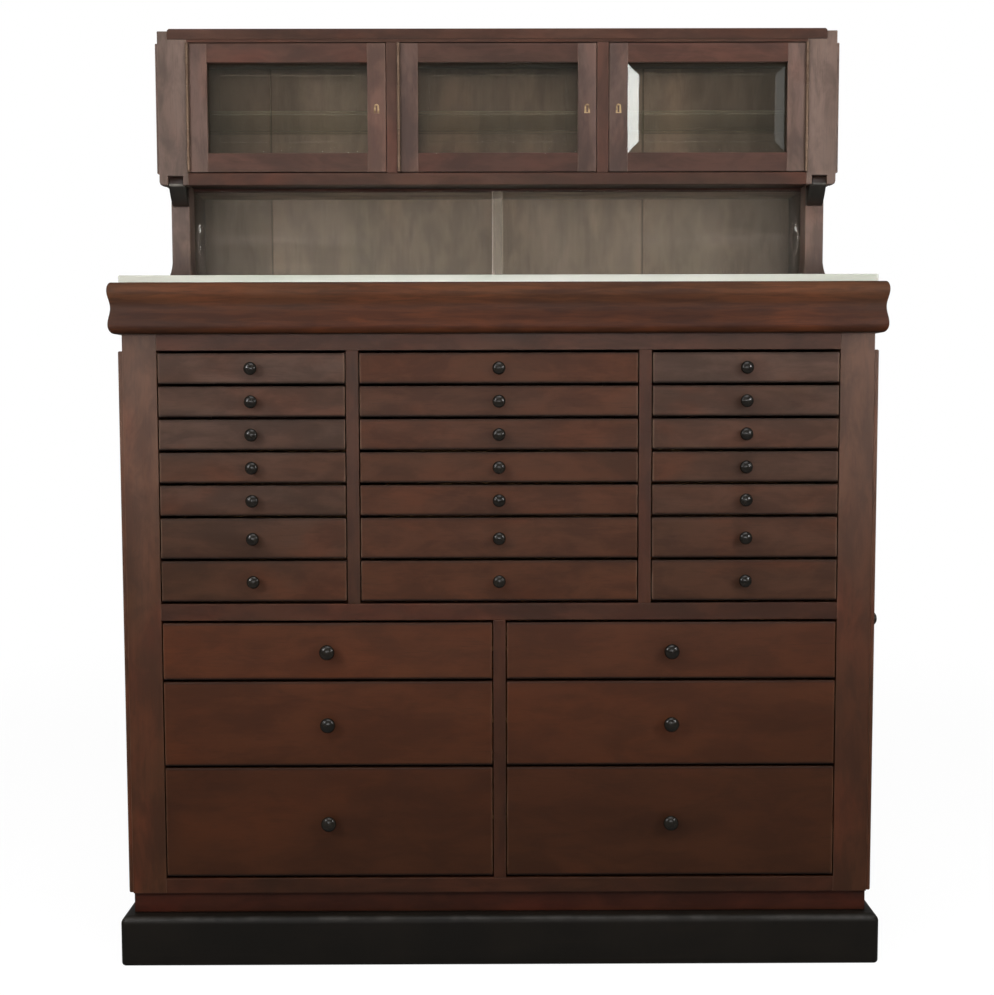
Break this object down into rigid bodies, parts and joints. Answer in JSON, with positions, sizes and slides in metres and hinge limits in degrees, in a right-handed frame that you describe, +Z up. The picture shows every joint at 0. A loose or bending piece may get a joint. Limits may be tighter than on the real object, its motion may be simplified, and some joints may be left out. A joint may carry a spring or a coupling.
{
  "type": "dental cabinet",
  "caption": "Wooden dental cabinet: a plinth base with banks of shallow and deep drawers, a white worktop, and a glazed hutch on posts above a niche with sliding glass.",
  "frame": {"origin": "on the floor under the middle of the plinth", "axes": "+Z up, the front faces -Y, +X on the right of someone who faces the front"},
  "size_m": [1.246, 0.46, 1.564],
  "materials": {
    "mahogany": "worn polish",
    "inner_wood": "bare, aged",
    "black_wood": "black polish",
    "opal_glass": "polished",
    "clear_glass": "polished",
    "brass": "aged"
  },
  "bodies": {
    "cabinet": {"plinth": "black_wood", "base_frame": "mahogany", "case_sides": "mahogany", "case_face_frame": "mahogany", "case_partitions": "mahogany", "case_decks": "inner_wood", "case_back": "inner_wood", "left_side_panel": "mahogany", "worktop_moulding": "mahogany", "worktop_slab": "opal_glass", "drawer_runners": "inner_wood", "niche_posts": "mahogany", "niche_corbels": "black_wood", "pane_tracks": "mahogany", "hutch_back": "inner_wood", "hutch_sides": "mahogany", "hutch_boards": "mahogany", "hutch_face_frame": "mahogany", "glass_shelves": "clear_glass", "hinge_jamb_leaves": "brass"},
    "drawer_left_1": {"drawer_left_1": "mahogany"},
    "drawer_left_2": {"drawer_left_2": "mahogany"},
    "drawer_left_3": {"drawer_left_3": "mahogany"},
    "drawer_left_4": {"drawer_left_4": "mahogany"},
    "drawer_left_5": {"drawer_left_5": "mahogany"},
    "drawer_left_6": {"drawer_left_6": "mahogany"},
    "drawer_left_7": {"drawer_left_7": "mahogany"},
    "drawer_centre_1": {"drawer_centre_1": "mahogany"},
    "drawer_centre_2": {"drawer_centre_2": "mahogany"},
    "drawer_centre_3": {"drawer_centre_3": "mahogany"},
    "drawer_centre_4": {"drawer_centre_4": "mahogany"},
    "drawer_centre_5": {"drawer_centre_5": "mahogany"},
    "drawer_centre_6": {"drawer_centre_6": "mahogany"},
    "drawer_centre_7": {"drawer_centre_7": "mahogany"},
    "drawer_right_1": {"drawer_right_1": "mahogany"},
    "drawer_right_2": {"drawer_right_2": "mahogany"},
    "drawer_right_3": {"drawer_right_3": "mahogany"},
    "drawer_right_4": {"drawer_right_4": "mahogany"},
    "drawer_right_5": {"drawer_right_5": "mahogany"},
    "drawer_right_6": {"drawer_right_6": "mahogany"},
    "drawer_right_7": {"drawer_right_7": "mahogany"},
    "large_drawer_left_1": {"large_drawer_left_1": "mahogany"},
    "large_drawer_left_2": {"large_drawer_left_2": "mahogany"},
    "large_drawer_left_3": {"large_drawer_left_3": "mahogany"},
    "large_drawer_right_1": {"large_drawer_right_1": "mahogany"},
    "large_drawer_right_2": {"large_drawer_right_2": "mahogany"},
    "large_drawer_right_3": {"large_drawer_right_3": "mahogany"},
    "left_door": {"left_door_frame": "mahogany", "left_door_glass": "clear_glass", "left_door_fittings": "brass"},
    "middle_door": {"middle_door_frame": "mahogany", "middle_door_glass": "clear_glass", "middle_door_fittings": "brass"},
    "right_door": {"right_door_frame": "mahogany", "right_door_glass": "clear_glass", "right_door_fittings": "brass"},
    "side_door": {"side_door": "mahogany", "side_door_hinge_leaf": "brass"},
    "left_pane": {"left_pane": "clear_glass"},
    "right_pane": {"right_pane": "clear_glass"}
  },
  "joints": [
    {"name": "drawer_left_1_slide", "type": "slide", "parent": "cabinet", "child": "drawer_left_1", "axis": [0, -1, 0], "range_m": [0, 0.3]},
    {"name": "drawer_left_2_slide", "type": "slide", "parent": "cabinet", "child": "drawer_left_2", "axis": [0, -1, 0], "range_m": [0, 0.3]},
    {"name": "drawer_left_3_slide", "type": "slide", "parent": "cabinet", "child": "drawer_left_3", "axis": [0, -1, 0], "range_m": [0, 0.3]},
    {"name": "drawer_left_4_slide", "type": "slide", "parent": "cabinet", "child": "drawer_left_4", "axis": [0, -1, 0], "range_m": [0, 0.3]},
    {"name": "drawer_left_5_slide", "type": "slide", "parent": "cabinet", "child": "drawer_left_5", "axis": [0, -1, 0], "range_m": [0, 0.3]},
    {"name": "drawer_left_6_slide", "type": "slide", "parent": "cabinet", "child": "drawer_left_6", "axis": [0, -1, 0], "range_m": [0, 0.3]},
    {"name": "drawer_left_7_slide", "type": "slide", "parent": "cabinet", "child": "drawer_left_7", "axis": [0, -1, 0], "range_m": [0, 0.3]},
    {"name": "drawer_centre_1_slide", "type": "slide", "parent": "cabinet", "child": "drawer_centre_1", "axis": [0, -1, 0], "range_m": [0, 0.3]},
    {"name": "drawer_centre_2_slide", "type": "slide", "parent": "cabinet", "child": "drawer_centre_2", "axis": [0, -1, 0], "range_m": [0, 0.3]},
    {"name": "drawer_centre_3_slide", "type": "slide", "parent": "cabinet", "child": "drawer_centre_3", "axis": [0, -1, 0], "range_m": [0, 0.3]},
    {"name": "drawer_centre_4_slide", "type": "slide", "parent": "cabinet", "child": "drawer_centre_4", "axis": [0, -1, 0], "range_m": [0, 0.3]},
    {"name": "drawer_centre_5_slide", "type": "slide", "parent": "cabinet", "child": "drawer_centre_5", "axis": [0, -1, 0], "range_m": [0, 0.3]},
    {"name": "drawer_centre_6_slide", "type": "slide", "parent": "cabinet", "child": "drawer_centre_6", "axis": [0, -1, 0], "range_m": [0, 0.3]},
    {"name": "drawer_centre_7_slide", "type": "slide", "parent": "cabinet", "child": "drawer_centre_7", "axis": [0, -1, 0], "range_m": [0, 0.3]},
    {"name": "drawer_right_1_slide", "type": "slide", "parent": "cabinet", "child": "drawer_right_1", "axis": [0, -1, 0], "range_m": [0, 0.3]},
    {"name": "drawer_right_2_slide", "type": "slide", "parent": "cabinet", "child": "drawer_right_2", "axis": [0, -1, 0], "range_m": [0, 0.3]},
    {"name": "drawer_right_3_slide", "type": "slide", "parent": "cabinet", "child": "drawer_right_3", "axis": [0, -1, 0], "range_m": [0, 0.3]},
    {"name": "drawer_right_4_slide", "type": "slide", "parent": "cabinet", "child": "drawer_right_4", "axis": [0, -1, 0], "range_m": [0, 0.3]},
    {"name": "drawer_right_5_slide", "type": "slide", "parent": "cabinet", "child": "drawer_right_5", "axis": [0, -1, 0], "range_m": [0, 0.3]},
    {"name": "drawer_right_6_slide", "type": "slide", "parent": "cabinet", "child": "drawer_right_6", "axis": [0, -1, 0], "range_m": [0, 0.3]},
    {"name": "drawer_right_7_slide", "type": "slide", "parent": "cabinet", "child": "drawer_right_7", "axis": [0, -1, 0], "range_m": [0, 0.3]},
    {"name": "large_drawer_left_1_slide", "type": "slide", "parent": "cabinet", "child": "large_drawer_left_1", "axis": [0, -1, 0], "range_m": [0, 0.3]},
    {"name": "large_drawer_left_2_slide", "type": "slide", "parent": "cabinet", "child": "large_drawer_left_2", "axis": [0, -1, 0], "range_m": [0, 0.3]},
    {"name": "large_drawer_left_3_slide", "type": "slide", "parent": "cabinet", "child": "large_drawer_left_3", "axis": [0, -1, 0], "range_m": [0, 0.3]},
    {"name": "large_drawer_right_1_slide", "type": "slide", "parent": "cabinet", "child": "large_drawer_right_1", "axis": [0, -1, 0], "range_m": [0, 0.3]},
    {"name": "large_drawer_right_2_slide", "type": "slide", "parent": "cabinet", "child": "large_drawer_right_2", "axis": [0, -1, 0], "range_m": [0, 0.3]},
    {"name": "large_drawer_right_3_slide", "type": "slide", "parent": "cabinet", "child": "large_drawer_right_3", "axis": [0, -1, 0], "range_m": [0, 0.3]},
    {"name": "left_door_hinge", "type": "hinge", "parent": "cabinet", "child": "left_door", "pos_m": [-0.537, 0.0058, 1.42925], "axis": [0, 0, -1], "range_deg": [0, 110]},
    {"name": "middle_door_hinge", "type": "hinge", "parent": "cabinet", "child": "middle_door", "pos_m": [-0.1715, 0.0058, 1.42925], "axis": [0, 0, -1], "range_deg": [0, 110]},
    {"name": "right_door_hinge", "type": "hinge", "parent": "cabinet", "child": "right_door", "pos_m": [0.537, 0.0058, 1.42925], "axis": [0, 0, 1], "range_deg": [0, 110]},
    {"name": "side_door_hinge", "type": "hinge", "parent": "cabinet", "child": "side_door", "pos_m": [0.6055, 0.2134, 0.56], "axis": [0, 0, 1], "range_deg": [0, 110]},
    {"name": "left_pane_slide", "type": "slide", "parent": "cabinet", "child": "left_pane", "axis": [1, 0, 0], "range_m": [0, 0.541]},
    {"name": "right_pane_slide", "type": "slide", "parent": "cabinet", "child": "right_pane", "axis": [-1, 0, 0], "range_m": [0, 0.541]}
  ]
}
